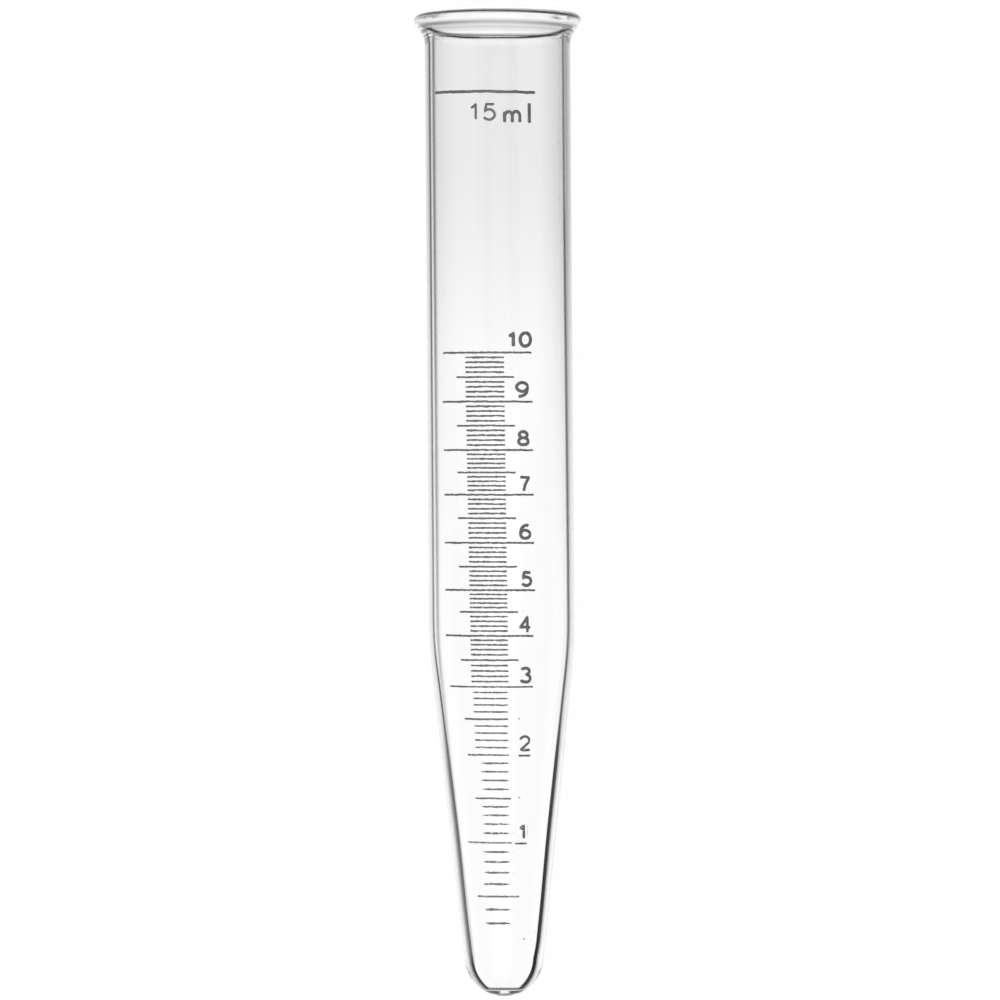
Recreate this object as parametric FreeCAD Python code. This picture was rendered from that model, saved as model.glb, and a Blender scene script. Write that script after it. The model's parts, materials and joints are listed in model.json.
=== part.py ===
"""A 15 ml conical centrifuge tube of clear laboratory glass.

The tube is drawn from a length of thin-walled tubing. One end is pulled down to a long cone and closed
in a thick rounded tip. The other end is fire-polished: the lip is turned outwards and gathered into a
solid bead. It is one piece of glass, so the model is one revolved section.

The section is drawn upright, as radius and height above the outside of the tip, and the finished tube
is laid on its side as it rests on a bench: on its bead and on the shoulder of its cone.

Millimetres. +Z is up, the mouth points along +Y, and the origin is the middle of the tube's footprint
on the bench.
"""
import FreeCAD
import Part

import math
import os

# the tubing
overall_length = 111.4
body_diameter = 16.5
wall = 0.65

# the cone, whose sharp shoulder is eased by a long blend
cone_height = 40.0
shoulder_blend = 60.0

# the closed tip: a round end outside, and inside a round corner that runs into a shallow dish
tip_radius = 4.5
tip_wall = 1.1
tip_floor = 0.7
dish_radius = 8.0
dish_corner = 2.6

# the lip: a round bead on a flared neck
bead_thickness = 1.5
bead_overhang = 1.25
neck_cove = 3.0
mouth_flare = 12.0

body_radius = body_diameter / 2
bore_radius = body_radius - wall
bead_radius = bead_thickness / 2


def point(radius, height):
    """A point of the section, which lies in the XZ plane."""
    return FreeCAD.Vector(radius, 0, height)


def at_angle(centre, radius, degrees):
    """The point of a circle at an angle up from the outward direction."""
    turn = math.radians(degrees)
    return centre + point(radius * math.cos(turn), radius * math.sin(turn))


def arc(centre, radius, first, last):
    """The stretch of a circle from one angle to another."""
    places = [at_angle(centre, radius, a) for a in (first, (first + last) / 2, last)]
    return Part.Arc(*places).toShape()


def cone_angle(top, centre, radius):
    """The half-angle of the cone that leaves a point of the wall and just touches a circle below it."""
    across, down = top.x - centre.x, top.z - centre.z
    return math.degrees(math.atan2(across, down) - math.asin(radius / math.hypot(across, down)))


def direction(start, end):
    """The angle of the line from one point to another, up from the outward direction."""
    return math.degrees(math.atan2(end.z - start.z, end.x - start.x))


def beside(centre, distance, radius):
    """The point below a centre, at a distance from it, that stands at the given radius."""
    drop = math.sqrt(distance**2 - (radius - centre.x) ** 2)
    return point(radius, centre.z - drop)


def shoulder_centre(wall_radius, half_angle):
    """The centre of the blend between a straight wall and the cone below it."""
    rise = shoulder_blend * math.tan(math.radians(half_angle) / 2)
    return point(wall_radius - shoulder_blend, cone_height + rise)


def tube_section():
    """The glass on one side of the axis, as a closed face."""
    tip_centre = point(0, tip_radius)
    outer_slope = cone_angle(point(body_radius, cone_height), tip_centre, tip_radius)
    outer_shoulder = shoulder_centre(body_radius, outer_slope)

    dish_centre = point(0, tip_floor + dish_radius)
    corner_centre = beside(dish_centre, dish_radius - dish_corner, tip_radius - tip_wall - dish_corner)
    inner_slope = cone_angle(point(bore_radius, cone_height), corner_centre, dish_corner)
    inner_shoulder = shoulder_centre(bore_radius, inner_slope)
    dish_end = direction(dish_centre, corner_centre)

    bead_centre = point(body_radius + bead_overhang - bead_radius, overall_length - bead_radius)
    cove_centre = beside(bead_centre, neck_cove + bead_radius, body_radius + neck_cove)
    flare_centre = beside(bead_centre, mouth_flare - bead_radius, bore_radius + mouth_flare)
    under_bead = direction(bead_centre, cove_centre)
    inside_bead = direction(flare_centre, bead_centre)

    outside = [
        arc(tip_centre, tip_radius, -90, -outer_slope),
        arc(outer_shoulder, shoulder_blend, -outer_slope, 0),
        arc(cove_centre, neck_cove, 180, under_bead + 180),
        arc(bead_centre, bead_radius, under_bead, inside_bead),
    ]
    inside = [
        arc(flare_centre, mouth_flare, inside_bead, 180),
        arc(inner_shoulder, shoulder_blend, 0, -inner_slope),
        arc(corner_centre, dish_corner, -inner_slope, dish_end),
        arc(dish_centre, dish_radius, dish_end, -90),
    ]
    return Part.Face(Part.Wire(joined(outside + inside)))


def joined(arcs):
    """The arcs in a ring, with a straight edge wherever one ends short of the next."""
    closed_gap = 1e-6
    edges = []
    for this, following in zip(arcs, arcs[1:] + arcs[:1]):
        edges.append(this)
        gap_start, gap_end = this.lastVertex().Point, following.firstVertex().Point
        if gap_start.distanceToPoint(gap_end) > closed_gap:
            edges.append(Part.makeLine(gap_start, gap_end))
    return edges


def resting_tilt():
    """How far the axis leans from level when the bead and the cone's shoulder both touch the bench."""
    slope = cone_angle(point(body_radius, cone_height), point(0, tip_radius), tip_radius)
    shoulder = shoulder_centre(body_radius, slope)
    bead = point(body_radius + bead_overhang - bead_radius, overall_length - bead_radius)
    apart = bead - shoulder
    touching = math.asin((shoulder_blend - bead_radius) / apart.Length)
    return math.degrees(math.atan2(apart.x, apart.z) - touching)


def laid_down(upright):
    """The tube turned onto its side, mouth towards +Y, with the middle of its footprint at the origin."""
    lying = upright.copy()
    lying.rotate(FreeCAD.Vector(), FreeCAD.Vector(1, 0, 0), resting_tilt() - 90)
    box = lying.optimalBoundingBox()
    lying.translate(FreeCAD.Vector(0, -box.Center.y, -box.ZMin))
    return lying


full_turn = 360
glass_tube = tube_section().revolve(FreeCAD.Vector(), FreeCAD.Vector(0, 0, 1), full_turn)

os.makedirs("parts", exist_ok=True)
laid_down(glass_tube).exportStep("parts/glass_tube.step")
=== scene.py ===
"""A 15 ml glass centrifuge tube, lying on a pale bench with its volume scale upwards.

The CAD frame gives where the tube lies. This script adds the clear, drawn glass with its fire-polished lip,
the grey enamel scale fired onto it, the bench, the light and the camera. Metres, with the mouth towards +Y.
"""

import json
import math

import bmesh
import bpy
from mathutils import Matrix, Vector, noise


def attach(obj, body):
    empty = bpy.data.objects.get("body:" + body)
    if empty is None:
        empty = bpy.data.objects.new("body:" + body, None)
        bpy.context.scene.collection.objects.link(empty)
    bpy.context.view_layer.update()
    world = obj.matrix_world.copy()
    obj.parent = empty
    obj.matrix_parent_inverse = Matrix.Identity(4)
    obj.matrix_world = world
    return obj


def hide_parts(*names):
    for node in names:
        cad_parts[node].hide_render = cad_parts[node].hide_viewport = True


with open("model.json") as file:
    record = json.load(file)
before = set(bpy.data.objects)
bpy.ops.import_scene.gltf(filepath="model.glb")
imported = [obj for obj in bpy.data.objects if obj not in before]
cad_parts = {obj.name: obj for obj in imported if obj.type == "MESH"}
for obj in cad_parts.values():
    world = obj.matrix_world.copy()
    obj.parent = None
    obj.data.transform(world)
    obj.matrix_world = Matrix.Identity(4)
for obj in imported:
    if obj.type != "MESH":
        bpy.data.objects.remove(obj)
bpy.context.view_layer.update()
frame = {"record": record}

# --------------------------------------------------------------------------------------------------------
# The glass tube. Thin-walled tubing drawn down to a long cone and closed in a thick round tip. The other
# end is fire-polished: the lip is turned outwards and gathered into a solid bead. It is one piece of glass,
# so the mesh is one section turned round the axis.
# --------------------------------------------------------------------------------------------------------
mm = 0.001
overall_length = 111.4 * mm
body_radius = 8.25 * mm
bore_radius = 7.6 * mm
cone_height = 40.0 * mm
shoulder_blend = 60.0 * mm
tip_radius = 4.5 * mm
tip_wall = 1.1 * mm
tip_floor = 0.7 * mm
dish_radius = 8.0 * mm
dish_corner = 2.6 * mm
bead_radius = 0.75 * mm
bead_overhang = 1.25 * mm
neck_cove = 3.0 * mm
mouth_flare = 12.0 * mm
turned_steps = 192
longest_facet = 4 * mm
weld_gap = 0.001 * mm


def section_point(radius, height):
    """A point of the section, which lies in the XZ plane with the axis upright."""
    return Vector((radius, 0, height))


def on_arc(centre, radius, degrees):
    """The point of a circle at an angle up from the outward direction."""
    turn = math.radians(degrees)
    return centre + section_point(radius * math.cos(turn), radius * math.sin(turn))


def direction(start, end):
    """The angle of the line from one point to another, up from the outward direction."""
    return math.degrees(math.atan2(end.z - start.z, end.x - start.x))


def cone_angle(top, centre, radius):
    """The half-angle of the cone that leaves a point of the wall and just touches a circle below it."""
    across, down = top.x - centre.x, top.z - centre.z
    return math.degrees(math.atan2(across, down) - math.asin(radius / math.hypot(across, down)))


def beside(centre, distance, radius):
    """The point below a centre, at a distance from it, that stands at the given radius."""
    return section_point(radius, centre.z - math.sqrt(distance**2 - (radius - centre.x) ** 2))


def shoulder_centre(wall_radius, half_angle):
    """The centre of the blend between a straight wall and the cone below it."""
    rise = shoulder_blend * math.tan(math.radians(half_angle) / 2)
    return section_point(wall_radius - shoulder_blend, cone_height + rise)


tip_centre = section_point(0, tip_radius)
outer_slope = cone_angle(section_point(body_radius, cone_height), tip_centre, tip_radius)
outer_shoulder = shoulder_centre(body_radius, outer_slope)
dish_centre = section_point(0, tip_floor + dish_radius)
corner_centre = beside(dish_centre, dish_radius - dish_corner, tip_radius - tip_wall - dish_corner)
dish_end = direction(dish_centre, corner_centre)
inner_slope = cone_angle(section_point(bore_radius, cone_height), corner_centre, dish_corner)
inner_shoulder = shoulder_centre(bore_radius, inner_slope)
bead_centre = section_point(body_radius + bead_overhang - bead_radius, overall_length - bead_radius)
cove_centre = beside(bead_centre, neck_cove + bead_radius, body_radius + neck_cove)
flare_centre = beside(bead_centre, mouth_flare - bead_radius, bore_radius + mouth_flare)
under_bead = direction(bead_centre, cove_centre)
inside_bead = direction(flare_centre, bead_centre)

section = bmesh.new()


def draw_to(pen, place):
    """Draws a straight wall from the pen to a place and returns the pen there."""
    drawn = bmesh.ops.extrude_vert_indiv(section, verts=[pen])
    drawn["verts"][0].co = place
    return drawn["verts"][0]


def swing(pen, centre, degrees, steps):
    """Swings the pen round a centre, towards the mouth's side if degrees is positive, and returns it."""
    drawn = bmesh.ops.spin(section, geom=[pen], cent=centre, axis=(0, -1, 0),
                           angle=math.radians(degrees), steps=steps)
    return next(part for part in drawn["geom_last"] if isinstance(part, bmesh.types.BMVert))


pen = section.verts.new(section_point(0, 0))
pen = swing(pen, tip_centre, 90 - outer_slope, 36)
pen = draw_to(pen, on_arc(outer_shoulder, shoulder_blend, -outer_slope))
pen = swing(pen, outer_shoulder, outer_slope, 16)
pen = draw_to(pen, on_arc(cove_centre, neck_cove, 180))
pen = swing(pen, cove_centre, under_bead, 16)
pen = swing(pen, bead_centre, inside_bead - under_bead, 48)
pen = swing(pen, flare_centre, 180 - inside_bead, 16)
pen = draw_to(pen, on_arc(inner_shoulder, shoulder_blend, 0))
pen = swing(pen, inner_shoulder, -inner_slope, 16)
pen = draw_to(pen, on_arc(corner_centre, dish_corner, -inner_slope))
pen = swing(pen, corner_centre, dish_end + inner_slope, 24)
pen = swing(pen, dish_centre, -90 - dish_end, 12)
for wall in [edge for edge in section.edges if edge.calc_length() > longest_facet]:
    bmesh.ops.subdivide_edges(section, edges=[wall], cuts=int(wall.calc_length() / longest_facet))

bmesh.ops.spin(section, geom=section.verts[:] + section.edges[:], cent=(0, 0, 0), axis=(0, 0, 1),
               angle=2 * math.pi, steps=turned_steps, use_merge=True)
bmesh.ops.remove_doubles(section, verts=section.verts, dist=weld_gap)
bmesh.ops.recalc_face_normals(section, faces=section.faces)
for face in section.faces:
    middle = face.calc_center_median()
    face.smooth = True
    face.material_index = int(face.normal.xy.dot(middle.xy) < 0)

# The tube is laid down along the mount of its bore, which stands halfway up the straight part of the bore.
mouth_bore = next(mount for mount in frame["record"]["mounts"] if mount["name"] == "mouth_bore")
axis = Vector(mouth_bore["axis"]).normalized()
tip_end = Vector(mouth_bore["pos_m"]) - axis * (inner_shoulder.z + flare_centre.z) / 2
laid_down = Matrix.Translation(tip_end) @ Matrix.Rotation(math.atan2(-axis.y, axis.z), 4, "X")
section.transform(laid_down)

glass_mesh = bpy.data.meshes.new("glass")
section.to_mesh(glass_mesh)
section.free()
glass = bpy.data.objects.new("glass", glass_mesh)
bpy.context.scene.collection.objects.link(glass)


class Shade:
    """A number that varies over a surface. Arithmetic on it adds the Math nodes that work it out."""

    def __init__(self, tree, socket=None):
        self.tree = tree
        self.socket = socket

    def node(self, kind, settings, feeds, output=0):
        """Any node: its settings first, then a number, a colour or a Shade for each socket that is fed."""
        made = self.tree.nodes.new(kind)
        for name, setting in settings.items():
            setattr(made, name, setting)
        for name, feed in feeds.items():
            if isinstance(feed, Shade):
                self.tree.links.new(feed.socket, made.inputs[name])
            else:
                made.inputs[name].default_value = feed
        return Shade(self.tree, made.outputs[output] if made.outputs else None)

    def math(self, operation, first, second=0):
        return self.node("ShaderNodeMath", {"operation": operation}, {0: first, 1: second})

    def at_least(self, least):
        return self.math("MAXIMUM", self, least)

    def at_most(self, most):
        return self.math("MINIMUM", self, most)

    def __abs__(self):
        return self.math("ABSOLUTE", self)

    def __add__(self, other):
        return self.math("ADD", self, other)

    def __sub__(self, other):
        return self.math("SUBTRACT", self, other)

    def __rsub__(self, other):
        return self.math("SUBTRACT", other, self)

    def __mul__(self, other):
        return self.math("MULTIPLY", self, other)

    def __truediv__(self, other):
        return self.math("DIVIDE", self, other)

    def __pow__(self, exponent):
        return self.math("POWER", self, exponent)

    def __rpow__(self, base):
        return self.math("POWER", base, self)

    __radd__ = __add__
    __rmul__ = __mul__


def new_material(name):
    """An empty material and the Shade that its nodes start from."""
    material = bpy.data.materials.new(name)
    material.use_nodes = True
    material.node_tree.nodes.clear()
    return material, Shade(material.node_tree)


def between(value, start, end):
    """Runs from 0 to 1 while a value runs from start to end, and stays level outside them."""
    return value.node("ShaderNodeMapRange", {"interpolation_type": "SMOOTHSTEP"}, {
        "Value": value, "From Min": start, "From Max": end})


def band(value, start, full_from, full_to, end):
    """Is 1 while a value is between the two middle numbers, and falls to 0 at the outer ones."""
    return between(value, start, full_from) * (1 - between(value, full_to, end))


def line_at(value, centre, width):
    """Is 1 where a value is at the centre of a soft line, and falls to 0 a width or two to each side."""
    off = (value - centre) / width
    return math.exp(-1) ** (off * off)


def sight_sine(shade):
    """How steeply the surface is met: the sine of the angle between the sight line and straight on."""
    # At an even blend, Facing is one less the cosine of that angle.
    facing = shade.node("ShaderNodeLayerWeight", {}, {"Blend": 0.5}, "Facing")
    cosine = 1 - facing
    return (1 - cosine * cosine) ** 0.5


def place_on_tube(shade):
    """Where the surface is, in millimetres: how high above the tip, and how far across the tube."""
    place = shade.node("ShaderNodeTexCoord", {}, {}, "Object")
    along = shade.node("ShaderNodeVectorMath", {"operation": "DOT_PRODUCT"}, {0: place, 1: axis}, "Value")
    height = (along - tip_end.dot(axis)) / mm
    across = shade.node("ShaderNodeSeparateXYZ", {}, {0: place}, "X") / mm
    return height, across


def leaves_glass(shade):
    """Is 1 where a sight line comes out of the glass, and 0 where it goes in."""
    return shade.node("ShaderNodeNewGeometry", {}, {}, "Backfacing")


glass_index = 1.5
faint_gloss = (0.1, 0.1, 0.1, 1)


def clear_glass(shade, painted_shade_tint, bent):
    """Clear glass. It bends a share of the light and tints that share with the painted shade, and the rest
    goes straight on.
    """
    # A glass surface tints what passes it by the root of its base colour, so the tint is squared.
    shader = shade.node("ShaderNodeBsdfPrincipled", {}, {
        "Base Color": painted_shade_tint * painted_shade_tint,
        "Roughness": 0.0,
        "IOR": glass_index,
        "Specular Tint": faint_gloss,
        "Transmission Weight": 1.0,
        "Alpha": bent,
    })
    shade.node("ShaderNodeOutputMaterial", {}, {"Surface": shader})


# The outer skin. Its tint carries painted shade: where sight lines pass outside the bore and meet the wall
# end on, the glass is painted dark. How far beyond the bore's edge they pass, in millimetres, follows from
# their angle and the two radii there.
outer_skin, shade = new_material("glass_outside")
leaving = leaves_glass(shade)
sine = sight_sine(shade)
height, across = place_on_tube(shade)
on_right = between(across, -1, 1)
on_left = 1 - on_right
down_cone = (cone_height / mm - height).at_least(0)
outer_edge = body_radius / mm - down_cone * math.tan(math.radians(outer_slope))
bore_edge = bore_radius / mm - down_cone * math.tan(math.radians(inner_slope))
beyond = sine * outer_edge - bore_edge

# In the round tip the painted shade outlines the inside as a bowl with a flat floor. Each side of the bowl
# is an arc centred across the axis and above the middle of the tip's ball. A sight line passes that middle
# so far aside and so far below.
bowl_radius = 4.8
bowl_aside = 1.3
bowl_above = 0.41
in_ball = 1 - between(height, 3.4, 5.5)
entering_ball = in_ball * (1 - leaving)
reach = sine * (tip_radius / mm)
aside = abs(across).at_most(reach)
low = (reach * reach - across * across).at_least(0) ** 0.5
from_bowl = ((aside + bowl_aside) ** 2 + (low + bowl_above) ** 2) ** 0.5
beyond += entering_ball * (from_bowl - bowl_radius - beyond)

# The body's wall gets a painted shade that fades outwards, with a painted dark line in it. On the left the
# line stands beyond the bore's edge. On the right it is at that edge, with a faint one inside it, and is
# weaker near the mouth.
mouthward = between(height, 40, 105)
at_shoulder = 1 - between(height, 33, 42)
left_place = 0.137 - 0.09 * at_shoulder
left_depth = 0.55 + 0.27 * at_shoulder
right_place = -0.03 - 0.12 * between(height, 46, 95) - 0.01 * at_shoulder
right_width = 0.13 + 0.03 * mouthward
right_depth = 0.82 + 0.14 * at_shoulder - 0.28 * between(height, 86, 93)
faint_place = right_place - 0.44
body_dark = line_at(beyond, left_place, 0.106) * on_left * left_depth
body_dark += line_at(beyond, right_place, right_width) * on_right * right_depth
body_dark += line_at(beyond, faint_place, 0.15) * on_right * 0.09
body_shade = 0.35 + (0.2 + 0.1 * on_right) * mouthward - 0.35 * between(beyond, 0.15, 0.68)
body_dark += body_shade * between(beyond, -0.08, 0.11)

# The cone's wall gets a broad painted shade that starts at the bore's edge and fades outwards, with a
# painted dark core on the right.
toward_tip = 1 - between(height, 8, 20)
at_tip = 1 - between(height, 4, 6.5)
from_edge = beyond - 0.15 * toward_tip - 0.05 * entering_ball * low
from_edge += on_right * (0.07 + 0.13 * at_tip - 0.045 * entering_ball * low)
begins = between(from_edge + 0.15 + 0.03 * on_right, 0, 0.08)
fades = 1 - between(from_edge, 0.05, 0.75 - 0.07 * on_right)
core_depth = 0.6 * on_right + 0.12 * on_left * entering_ball
cone_dark = begins * fades * 0.88 + line_at(from_edge, 0.06, 0.16) * core_depth

# The wall's painted shade ends at the bead, at the bowl's floor, and where a sight line leaves the ball
# again.
in_body = between(height, 25, 33)
painted_wall_shade = in_body * body_dark + (1 - in_body) * cone_dark
painted_wall_shade *= 1 - between(height, 108.6, 109.6)
painted_wall_shade *= 1 - entering_ball * between(low, 3.7, 3.8)
painted_wall_shade *= 1 - leaving * in_ball

# Painted shade: the upper half is darkened faintly, a little more down the middle.
painted_mouth_shade = 0.072 * between(height, 68, 98)
painted_mouth_shade += 0.045 * between(height, 62, 78) * (1 - between(across * across, 0.1, 8))
painted_mouth_shade *= 1 - between(height, 108.2, 109)

# The lip, which leans a little. The top of its bead is painted as a dark ring of shade. The bead's foot gets
# a soft painted shade with three fine painted lines in it, and the neck below a painted dark line that rises
# at the sides.
lip_lean = 0.014
ring_height = 111.12
foot_height = 109.85
cove_height = 109.36
under_cove = 108.98
neck_height = 108.36
level = height + across * lip_lean
to_side = between(sine, 0.5, 0.95)
not_at_edge = 1 - between(sine, 0.95, 0.99)
ring = line_at(level, ring_height - 0.08 * to_side, 0.15 + 0.12 * to_side) * 0.97
foot_dark = line_at(level, foot_height, 0.2) * (0.22 + 0.2 * to_side)
foot_dark += (line_at(level, cove_height, 0.1) + line_at(level, under_cove, 0.12)) * 0.14
foot_dark += band(level, 108.9, 109.2, 109.9, 110.5) * (0.2 + 0.16 * to_side)
neck_rise = 0.36 * sine ** 2 + 1.3 * sine ** 6
neck_line = line_at(level - neck_rise, neck_height, 0.15) * (1 - between(sine, 0.9, 0.97)) * 0.75
painted_lip_shade = ring + foot_dark * not_at_edge + neck_line

# The closed end. Where the bowl's floor and the bottom of the ball are seen end on, short dark lines of
# painted shade are drawn, with a painted dark wing to each side between them.
floor_low = 3.68
wing_low = 4.05
bottom_low = 4.39
floor_line = line_at(low, floor_low, 0.13) * (1 - between(aside, 1.4, 2.2)) * 0.92
bottom_line = line_at(low, bottom_low, 0.14) * (1 - between(aside, 0.7, 1.3)) * 0.97
wings = line_at(low, wing_low, 0.13) * band(aside, 0.4, 0.8, 1.8, 2.3) * 0.6
painted_end_shade = in_ball * (floor_line + bottom_line + wings)

# The thickest glass would bend most sight lines away to the dim side of the room, so part of the light goes
# straight on there: under the floor, at the ball's rim and through the bead.
most_straight = 0.9
lowest = 1 - between(height, 3, 5)
under_floor = band(low, 3.78, 3.88, 4.15, 4.28) * (1 - between(aside, 0.3, 0.8)) * lowest
ball_rim = between(sine, 0.95, 0.98) * between(aside, 1.2, 2.4) * lowest * 0.5
through_bead = band(level, 110.3, 110.5, 110.8, 110.95) * (1 - between(sine, 0.75, 0.95))
straight_on = (under_floor + ball_rim + through_bead) * most_straight

# All the painted shade above darkens the glass's tint.
painted_shade_tint = (1 - painted_wall_shade.at_most(1)) * (1 - painted_mouth_shade)
painted_shade_tint *= 1 - ((1 - leaving) * (painted_lip_shade + painted_end_shade)).at_most(1)
clear_glass(shade, painted_shade_tint, 1 - straight_on)
glass.data.materials.append(outer_skin)

# The skin of the bore, whose tint carries painted shade. Its edge is painted as a dark line, which weakens
# towards the cone on the left and has a fainter one inside it there. A painted shade beside it deepens
# towards the mouth.
bore_skin, shade = new_material("glass_bore")
leaving = leaves_glass(shade)
sine = sight_sine(shade)
height, across = place_on_tube(shade)
on_right = between(across, -1, 1)
on_left = 1 - on_right
mouthward = between(height, 30, 100)
in_cone = 1 - between(height, 26, 44)
left_depth = 0.5 + 0.35 * mouthward
edge_depth = left_depth + on_right * (0.98 - left_depth)
edge_shift = 0.028 - 0.015 * between(height, 45, 100)
edge_place = 0.966 + edge_shift * on_right + 0.012 * in_cone
edge_width = 0.02 + 0.008 * in_cone
painted_bore_line = line_at(sine, edge_place, edge_width) * edge_depth
painted_bore_line += line_at(sine, 0.947, 0.024) * on_left * (1 - in_cone) * 0.32
bore_shade = between(sine, 0.6, 1) * mouthward * (0.2 + 0.1 * on_right)
painted_shade_tint = (1 - painted_bore_line.at_most(1)) * (1 - bore_shade)

# The foot of the bead is painted on the far side as a dark ring of shade, which rises at the sides. On the
# near side of the bead part of the light goes straight on, as it does at the outer skin.
ring_lean = 0.01
level = height + across * ring_lean
ring_place = 109.75 + 0.8 * between(sine, 0.35, 0.95)
painted_far_ring = line_at(level, ring_place, 0.34) * (1 - between(sine, 0.95, 0.99)) * 0.93
straight_on = leaving * between(level, 109.9, 110.2) * (1 - between(sine, 0.7, 0.9)) * most_straight
clear_glass(shade, painted_shade_tint * (1 - (1 - leaving) * painted_far_ring), 1 - straight_on)
glass.data.materials.append(bore_skin)

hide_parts("glass_tube")
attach(glass, "root")

# --------------------------------------------------------------------------------------------------------
# The whole lines of the scale, one for each millilitre up to ten. Dark grey ceramic enamel, screen printed
# as a thin film and fired into the outside of the glass, so each line is a little wavy and uneven.
# --------------------------------------------------------------------------------------------------------
film_share = 0.12
stroke_step = 0.14 * mm
wander_length = 0.55 * mm
wander_share = 0.2
swell_fineness = 1.7
swell_offset = Vector((40, 0, 0))
tapered_share = 0.4
line_width = 0.24 * mm
skew_degrees = 0.45
outer_seam = outer_shoulder.z - shoulder_blend * math.sin(math.radians(outer_slope))


def wall_radius(height):
    """The radius of the outer wall at a height above the tip, on the body, the shoulder or the cone."""
    if height > outer_shoulder.z:
        return body_radius
    if height > outer_seam:
        return outer_shoulder.x + math.sqrt(shoulder_blend**2 - (height - outer_shoulder.z) ** 2)
    return body_radius - (cone_height - height) * math.tan(math.radians(outer_slope))


def stroke(points, width, wobble=0.25, blunt=1.0, taper=0.0):
    """A pen stroke through points of the flat print, as places and half widths that wander a little.

    Wobble is how much the width swells, blunt is the share of the width that the two end points have, and
    taper is the length over which each end narrows.
    """
    path = []
    for start, end in zip(points, points[1:]):
        steps = max(1, round((end - start).length / stroke_step))
        path += [start.lerp(end, step / steps) for step in range(steps)]
    path.append(points[-1])
    drawn = []
    for place in path:
        along = place / wander_length
        drift = noise.noise(along) * wander_share * width
        swell = 1 + noise.noise(along * swell_fineness + swell_offset) * wobble
        if taper:
            from_end = min((place - path[0]).length, (place - path[-1]).length)
            swell *= tapered_share + (1 - tapered_share) * min(1, from_end / taper)
        drawn.append((place + Vector((0, drift, 0)), width / 2 * swell))
    for end in (0, -1):
        place, half_width = drawn[end]
        drawn[end] = (place, half_width * blunt)
    return drawn


def level_line(height, left, right, width=line_width, wobble=0.25, blunt=1.0, taper=0.0):
    """A line of the scale from left to right of the top line of the tube. It drops a little to the right."""
    drop = math.tan(math.radians(skew_degrees)) * (right - left) / 2
    ends = [Vector((left, height + drop, 0)), Vector((right, height - drop, 0))]
    return stroke(ends, width, wobble, blunt, taper)


# Fired enamel: dark grey, nearly matt, thinner in places and worn through in a few pinholes, more so on the
# cone. The patterns are given in turns to the metre.
coarse_grain = 2600
fine_grain = 5200
enamel, shade = new_material("fired_enamel")
height = place_on_tube(shade)[0]
place = shade.node("ShaderNodeTexCoord", {}, {}, "Object")
grain = shade.node("ShaderNodeTexNoise", {}, {"Vector": place, "Scale": coarse_grain, "Detail": 3}, "Fac")
thin = shade.node("ShaderNodeTexNoise", {}, {"Vector": place, "Scale": fine_grain, "Detail": 2}, "Fac")
worn = 0.26 + 0.1 * (1 - between(height, 20, 36))
shader = shade.node("ShaderNodeBsdfPrincipled", {}, {
    "Base Color": 0.05 + 0.11 * grain,
    "Roughness": 0.45 + 0.2 * thin,
    "Alpha": between(thin - worn, 0, 0.08),
})
shade.node("ShaderNodeOutputMaterial", {}, {"Surface": shader})


def printed(name, strokes):
    """Makes one piece of enamel from flat strokes and wraps it round the glass."""
    curve = bpy.data.curves.new(name, "CURVE")
    curve.dimensions = "3D"
    curve.bevel_depth = 1.0
    curve.bevel_resolution = 1
    curve.use_fill_caps = True
    for drawn in strokes:
        spline = curve.splines.new("POLY")
        spline.points.add(len(drawn) - 1)
        for point, (place, half_width) in zip(spline.points, drawn):
            point.co = (*place, 1)
            point.radius = half_width
    flat = bpy.data.objects.new(name, curve)
    print_mesh = bmesh.new()
    print_mesh.from_mesh(flat.to_mesh())
    flat.to_mesh_clear()
    bpy.data.objects.remove(flat)
    bpy.data.curves.remove(curve)
    bmesh.ops.recalc_face_normals(print_mesh, faces=print_mesh.faces)
    for vertex in print_mesh.verts:
        around, height, rise = vertex.co
        radius = wall_radius(height)
        turn = around / radius
        radius += rise * film_share
        vertex.co = (radius * math.sin(turn), -radius * math.cos(turn), height)
    for face in print_mesh.faces:
        face.smooth = True
    print_mesh.transform(laid_down)
    piece = bpy.data.objects.new(name, bpy.data.meshes.new(name))
    print_mesh.to_mesh(piece.data)
    print_mesh.free()
    piece.data.materials.append(enamel)
    bpy.context.scene.collection.objects.link(piece)
    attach(piece, "root")


# For each volume in millilitres: the height above the tip, and the places of the left and right ends,
# measured round the glass from its top line. In millimetres.
whole_lines = {
    10: (72.85, -7.32, 3.68),
    9: (67.35, -7.39, 3.76),
    8: (61.92, -7.27, 3.77),
    7: (56.90, -7.25, 3.80),
    6: (51.50, -7.22, 3.81),
    5: (46.20, -7.19, 3.90),
    4: (41.07, -7.18, 3.67),
    3: (35.34, -6.69, 3.58),
    2: (27.66, -4.16, 0.70),
    1: (17.75, -4.39, 0.97),
}
strokes = []
for volume, (height, left, right) in whole_lines.items():
    width = 0.22 * mm if volume > 3 else 0.18 * mm
    strokes.append(level_line(height * mm, left * mm, right * mm, width, 0.45))
# Beside the figures 2 and 1 the line goes on as a short dash under the figure.
strokes.append(level_line(27.55 * mm, 1.79 * mm, 3.17 * mm))
strokes.append(level_line(17.63 * mm, 1.28 * mm, 2.75 * mm, 0.24 * mm, 0.3, 0.5))
printed("millilitre_lines", strokes)

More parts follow.
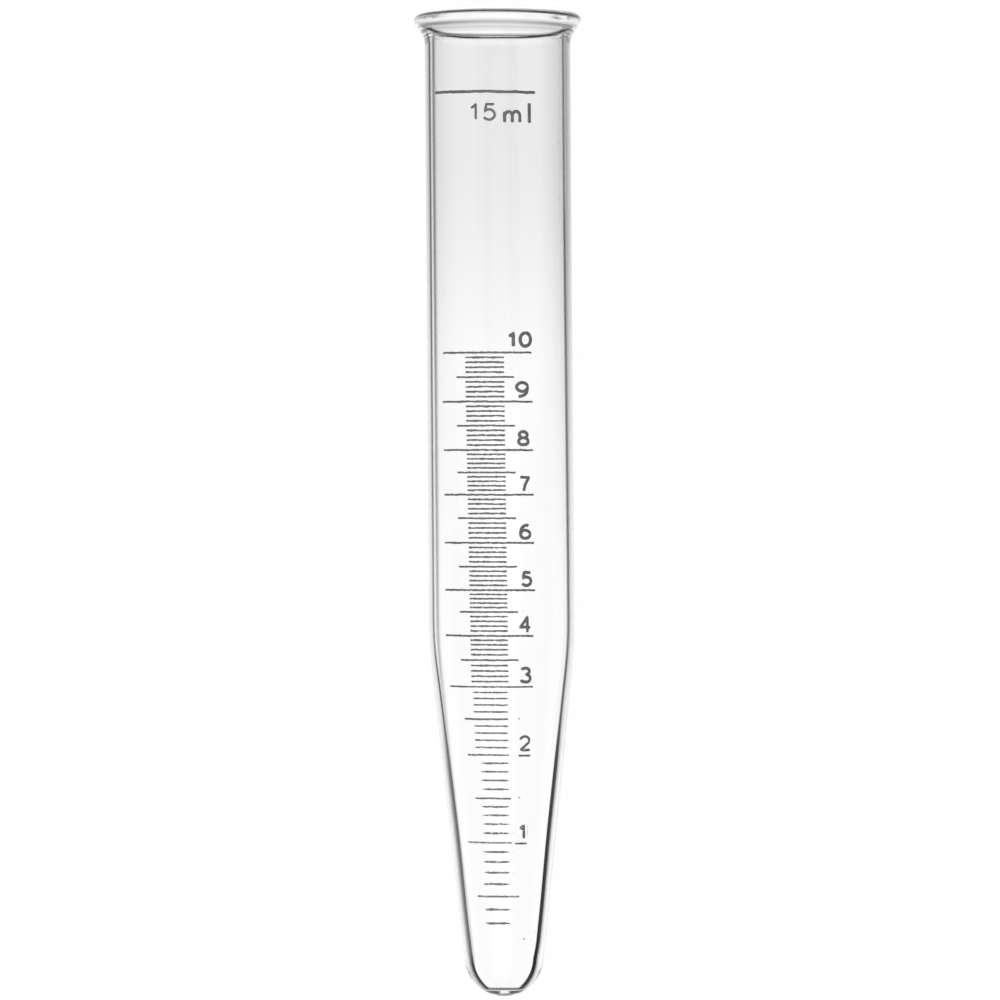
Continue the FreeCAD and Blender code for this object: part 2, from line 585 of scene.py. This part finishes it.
# --------------------------------------------------------------------------------------------------------
# The half lines, one between each two whole ones and shorter than they are. The same fired enamel, printed
# in one go with the rest of the scale.
# --------------------------------------------------------------------------------------------------------
half_lines = {
    9.5: (70.10, -5.20, 1.60),
    8.5: (64.65, -5.22, 1.66),
    7.5: (59.40, -5.20, 1.68),
    6.5: (54.26, -5.17, 1.70),
    5.5: (48.83, -5.08, 1.76),
    4.5: (43.75, -4.99, 1.84),
    3.5: (38.34, -4.92, 1.86),
    2.5: (31.69, -4.50, 0.62),
    1.5: (22.75, -3.24, 0.89),
    0.5: (11.65, -3.12, 1.76),
}
strokes = []
for height, left, right in half_lines.values():
    strokes.append(level_line(height * mm, left * mm, right * mm, 0.21 * mm))
printed("half_lines", strokes)

# --------------------------------------------------------------------------------------------------------
# The tenth lines, four on each side of every half line. The same fired enamel. They stand further apart and
# get shorter down the cone, where a tenth of a millilitre fills more of the narrow bore.
# --------------------------------------------------------------------------------------------------------
lowest_volume = 0.3
marks = {volume: line[0] for volume, line in (whole_lines | half_lines).items()}
marks[lowest_volume] = 8.6
stray_fineness = 7.3
most_stray = 0.25

# How far the middle of some gaps is printed off its even place, as a share of the gap above the mark here.
uneven = {0.5: 0.02, 2.5: 0.03, 3: -0.015, 3.5: 0.025}

# What the cone would hold below the tip if it ran on to a point, in millilitres.
missing_volume = 0.97


def flat_place(around, height):
    """A place on the flat print, from millimetres round from the top line and millimetres above the tip."""
    return Vector((around, height, 0)) * mm


def crowding(volume):
    """Follows how a cone fills: between two marks, heights run evenly in this number."""
    return (volume + missing_volume) ** (1 / 3)


strokes = []
for tenth in range(3, 100):
    volume = tenth / 10
    if volume in marks and volume != lowest_volume:
        continue
    under = max(mark for mark in marks if mark <= volume)
    over = min(mark for mark in marks if mark > volume)
    share = (crowding(volume) - crowding(under)) / (crowding(over) - crowding(under))
    share += uneven.get(under, 0) * 4 * share * (1 - share)
    height = marks[under] + share * (marks[over] - marks[under])
    stray = noise.noise(Vector((volume * stray_fineness, 0, 0))) * most_stray
    if volume > 3:
        left = -3.36 - 0.072 * volume
        right = 0.81 - 0.035 * volume
        width = 0.185 + 0.0028 * volume
        taper = 0.0
    elif volume > 2:
        left = -2.55 - 0.31 * volume
        right = 0.66
        width = 0.175
        taper = 0.2
    else:
        left = -2.1 - 0.2 * volume + stray
        right = 0.70
        width = 0.245 - 0.025 * volume
        taper = 0.4
    strokes.append(level_line(height * mm, left * mm, right * mm, width * mm, 0.5, 1.0, taper * mm))
    # The lowest lines have a faint double beyond their right end.
    if volume < 1.2:
        faint = flat_place(right + 0.42 + stray, height + 0.1)
        strokes.append(stroke([faint, faint + flat_place(0.04, -0.22)], 0.03 * mm, 0.3))
printed("tenth_lines", strokes)

# --------------------------------------------------------------------------------------------------------
# The figures beside the whole lines, one to ten. The same fired enamel, printed with a thicker stroke. Each
# is drawn in a box one wide and one high and then fitted into its place.
# --------------------------------------------------------------------------------------------------------
figure_width = 0.36 * mm
bow_steps = 24


def bow(across, up, half_across, half_up, start, end):
    """Points along part of an oval, in a box that is one wide and one high."""
    turns = [math.radians(start + (end - start) * step / bow_steps) for step in range(bow_steps + 1)]
    return [(across + half_across * math.cos(turn), up + half_up * math.sin(turn)) for turn in turns]


shapes = {
    "0": [bow(0.5, 0.5, 0.5, 0.5, 90, 452)],
    "1": [[(0, 0.76), (0.45, 0.84), (0.85, 1), (0.85, 0)]],
    "2": [bow(0.48, 0.7, 0.45, 0.3, 170, -35) + [(0.03, 0), (1, 0)]],
    "3": [bow(0.47, 0.76, 0.42, 0.24, 150, -85), bow(0.48, 0.27, 0.5, 0.27, 85, -155)],
    "4": [[(0.7, 0), (0.7, 1), (0, 0.33), (1, 0.33)]],
    "5": [[(0.92, 1), (0.26, 1), (0.12, 0.5)] + bow(0.46, 0.33, 0.5, 0.33, 130, -150)],
    "6": [bow(0.5, 0.31, 0.5, 0.31, 180, 540), bow(0.62, 0.36, 0.62, 0.64, 70, 185)],
    "7": [[(0, 1), (1, 1), (0.55, 0.48), (0.38, 0)]],
    "8": [bow(0.5, 0.765, 0.42, 0.235, -90, 270), bow(0.5, 0.265, 0.5, 0.265, 90, 450)],
    "9": [bow(0.5, 0.69, 0.5, 0.31, 0, 360), bow(0.38, 0.64, 0.62, 0.64, 250, 365)],
    "m": [[(0, 0), (0, 1)], bow(0.25, 0.58, 0.25, 0.42, 180, 0) + [(0.5, 0)],
          bow(0.75, 0.58, 0.25, 0.42, 180, 0) + [(1, 0)]],
    "l": [[(0.5, 0), (0.5, 1)]],
}


def figure(shape, left, right, bottom, top, width=figure_width):
    """The strokes of one figure or letter, fitted into its box on the glass."""
    half_width = width / 2
    left, right = left * mm + half_width, right * mm - half_width
    bottom, top = bottom * mm + half_width, top * mm - half_width
    wide, high = right - left, top - bottom
    for points in shapes[shape]:
        placed = [Vector((left + across * wide, bottom + up * high, 0)) for across, up in points]
        yield stroke(placed, width, 0.12, 0.75)


strokes = []
strokes += figure("1", 0.81, 1.83, 73.33, 75.24, 0.40 * mm)
strokes += figure("0", 2.12, 3.76, 73.33, 75.24, 0.40 * mm)
strokes += figure("9", 1.68, 3.34, 67.72, 69.62)
strokes += figure("8", 1.86, 3.36, 62.28, 64.13)
strokes += figure("7", 2.04, 3.42, 57.08, 58.98, 0.34 * mm)
strokes += figure("6", 2.02, 3.52, 51.80, 53.63)
strokes += figure("5", 2.13, 3.62, 46.50, 48.32)
strokes += figure("4", 1.92, 3.45, 41.27, 43.30, 0.33 * mm)
strokes += figure("3", 1.88, 3.44, 35.66, 37.60)
strokes += figure("2", 1.83, 3.30, 28.03, 29.88, 0.30 * mm)
strokes += figure("1", 1.72, 2.62, 18.03, 19.86, 0.34 * mm)
# The figure at 1 ml is smudged: it has a blob on its flag and a faint double to its right.
strokes.append(stroke([flat_place(2.0, 19.25), flat_place(2.35, 19.6)], 0.4 * mm))
strokes.append(stroke([flat_place(2.86, 19.7), flat_place(2.8, 18.5)], 0.03 * mm))
printed("figures", strokes)

# --------------------------------------------------------------------------------------------------------
# The line for the full 15 ml, longer and thicker than the others and a little more askew, and the words
# below it. The same fired enamel.
# --------------------------------------------------------------------------------------------------------
strokes = [stroke([flat_place(-8.50, 102.27), flat_place(4.37, 101.99)], 0.32 * mm)]
strokes += figure("1", -3.26, -2.30, 98.86, 100.87, 0.29 * mm)
strokes += figure("5", -1.80, -0.18, 98.80, 100.83, 0.29 * mm)
strokes += figure("m", 0.55, 2.65, 98.46, 100.02, 0.36 * mm)
strokes += figure("l", 3.39, 3.84, 98.38, 101.0, 0.40 * mm)
printed("capacity_mark", strokes)

# --------------------------------------------------------------------------------------------------------
# Stray dots of the same enamel, each a short dash. They were left beside the scale when it was printed and
# were fired on with it.
# --------------------------------------------------------------------------------------------------------
dot_length = 0.2
dots = [(2.25, 6.77, 0.14), (3.85, 7.47, 0.08), (1.80, 31.73, 0.12), (1.75, 22.84, 0.15), (7.85, 96.6, 0.1),
        (7.9, 90.3, 0.08)]
strokes = []
for left, height, width in dots:
    strokes.append(level_line(height * mm, left * mm, (left + dot_length) * mm, width * mm))
printed("stray_dots", strokes)

# --------------------------------------------------------------------------------------------------------
# The bench. A wide, smooth, pale top that the tube lies on. It stays pale where it is seen directly or
# through the glass, and it keeps a little of the tube's soft shadow.
# --------------------------------------------------------------------------------------------------------
bench_reach = 30.0
bench_grey = (0.9, 0.9, 0.9, 1)
white = (1, 1, 1, 1)
lit_share = 0.98
bench_mesh = bmesh.new()
bmesh.ops.create_grid(bench_mesh, x_segments=1, y_segments=1, size=bench_reach)
bench = bpy.data.objects.new("bench", bpy.data.meshes.new("bench"))
bench_mesh.to_mesh(bench.data)
bench_mesh.free()
bpy.context.scene.collection.objects.link(bench)
bench_finish, shade = new_material("pale_bench")
directly = shade.node("ShaderNodeLightPath", {}, {}, "Is Camera Ray")
mirrored = shade.node("ShaderNodeLightPath", {}, {}, "Is Glossy Ray")
through_glass = shade.node("ShaderNodeLightPath", {}, {}, "Is Transmission Ray")
seen = directly.at_least(mirrored.at_least(through_glass))
painted = shade.node("ShaderNodeBsdfDiffuse", {}, {"Color": bench_grey})
glow = shade.node("ShaderNodeEmission", {}, {"Color": white, "Strength": 1.0})
shader = shade.node("ShaderNodeMixShader", {}, {0: seen * lit_share, 1: painted, 2: glow})
shade.node("ShaderNodeOutputMaterial", {}, {"Surface": shader})
bench.data.materials.append(bench_finish)

# --------------------------------------------------------------------------------------------------------
# The light. A room all round, which looks white when it is seen directly and lights the tube dimly, and one
# large soft panel overhead.
# --------------------------------------------------------------------------------------------------------
room = bpy.data.worlds.new("room")
bpy.context.scene.world = room
room.use_nodes = True
room.node_tree.nodes.clear()
shade = Shade(room.node_tree)
directly = shade.node("ShaderNodeLightPath", {}, {}, "Is Camera Ray")
pale = shade.node("ShaderNodeBackground", {}, {"Color": white, "Strength": 1.0})
dim = shade.node("ShaderNodeBackground", {}, {"Color": white, "Strength": 0.15})
shader = shade.node("ShaderNodeMixShader", {}, {0: directly, 1: dim, 2: pale})
shade.node("ShaderNodeOutputWorld", {}, {"Surface": shader})

panel = bpy.data.objects.new("soft_panel", bpy.data.lights.new("soft_panel", "AREA"))
panel.data.shape = "RECTANGLE"
panel.data.size = 2.0
panel.data.size_y = 2.0
panel.data.energy = 60.0
panel.location = (-0.3, -0.4, 2.1)
panel.rotation_euler = (Vector((0, 0, 0)) - panel.location).to_track_quat("-Z", "Y").to_euler()
bpy.context.scene.collection.objects.link(panel)

# --------------------------------------------------------------------------------------------------------
# The camera. It looks down on the tube, square to its axis, from far off, with the mouth at the top of the
# picture and the tube turned a little in it.
# --------------------------------------------------------------------------------------------------------
camera = bpy.data.objects.new("camera", bpy.data.cameras.new("camera"))
camera.data.sensor_width = 36
camera.data.lens = 210
camera.data.clip_end = 100
aim_height = 56.3 * mm
frame_height = 113.5 * mm
camera_distance = camera.data.lens / camera.data.sensor_width * frame_height
roll = math.radians(0.42)
aim_aside = -0.1 * mm
sideways = Vector((1, 0, 0))
away = sideways.cross(axis)
right = sideways * math.cos(roll) - axis * math.sin(roll)
upward = sideways * math.sin(roll) + axis * math.cos(roll)
aim = tip_end + axis * aim_height + sideways * aim_aside
turned = Matrix((right, upward, away)).transposed().to_4x4()
camera.matrix_world = Matrix.Translation(aim + away * camera_distance) @ turned
bpy.context.scene.collection.objects.link(camera)
bpy.context.scene.camera = camera
bpy.context.scene.view_settings.view_transform = "Standard"
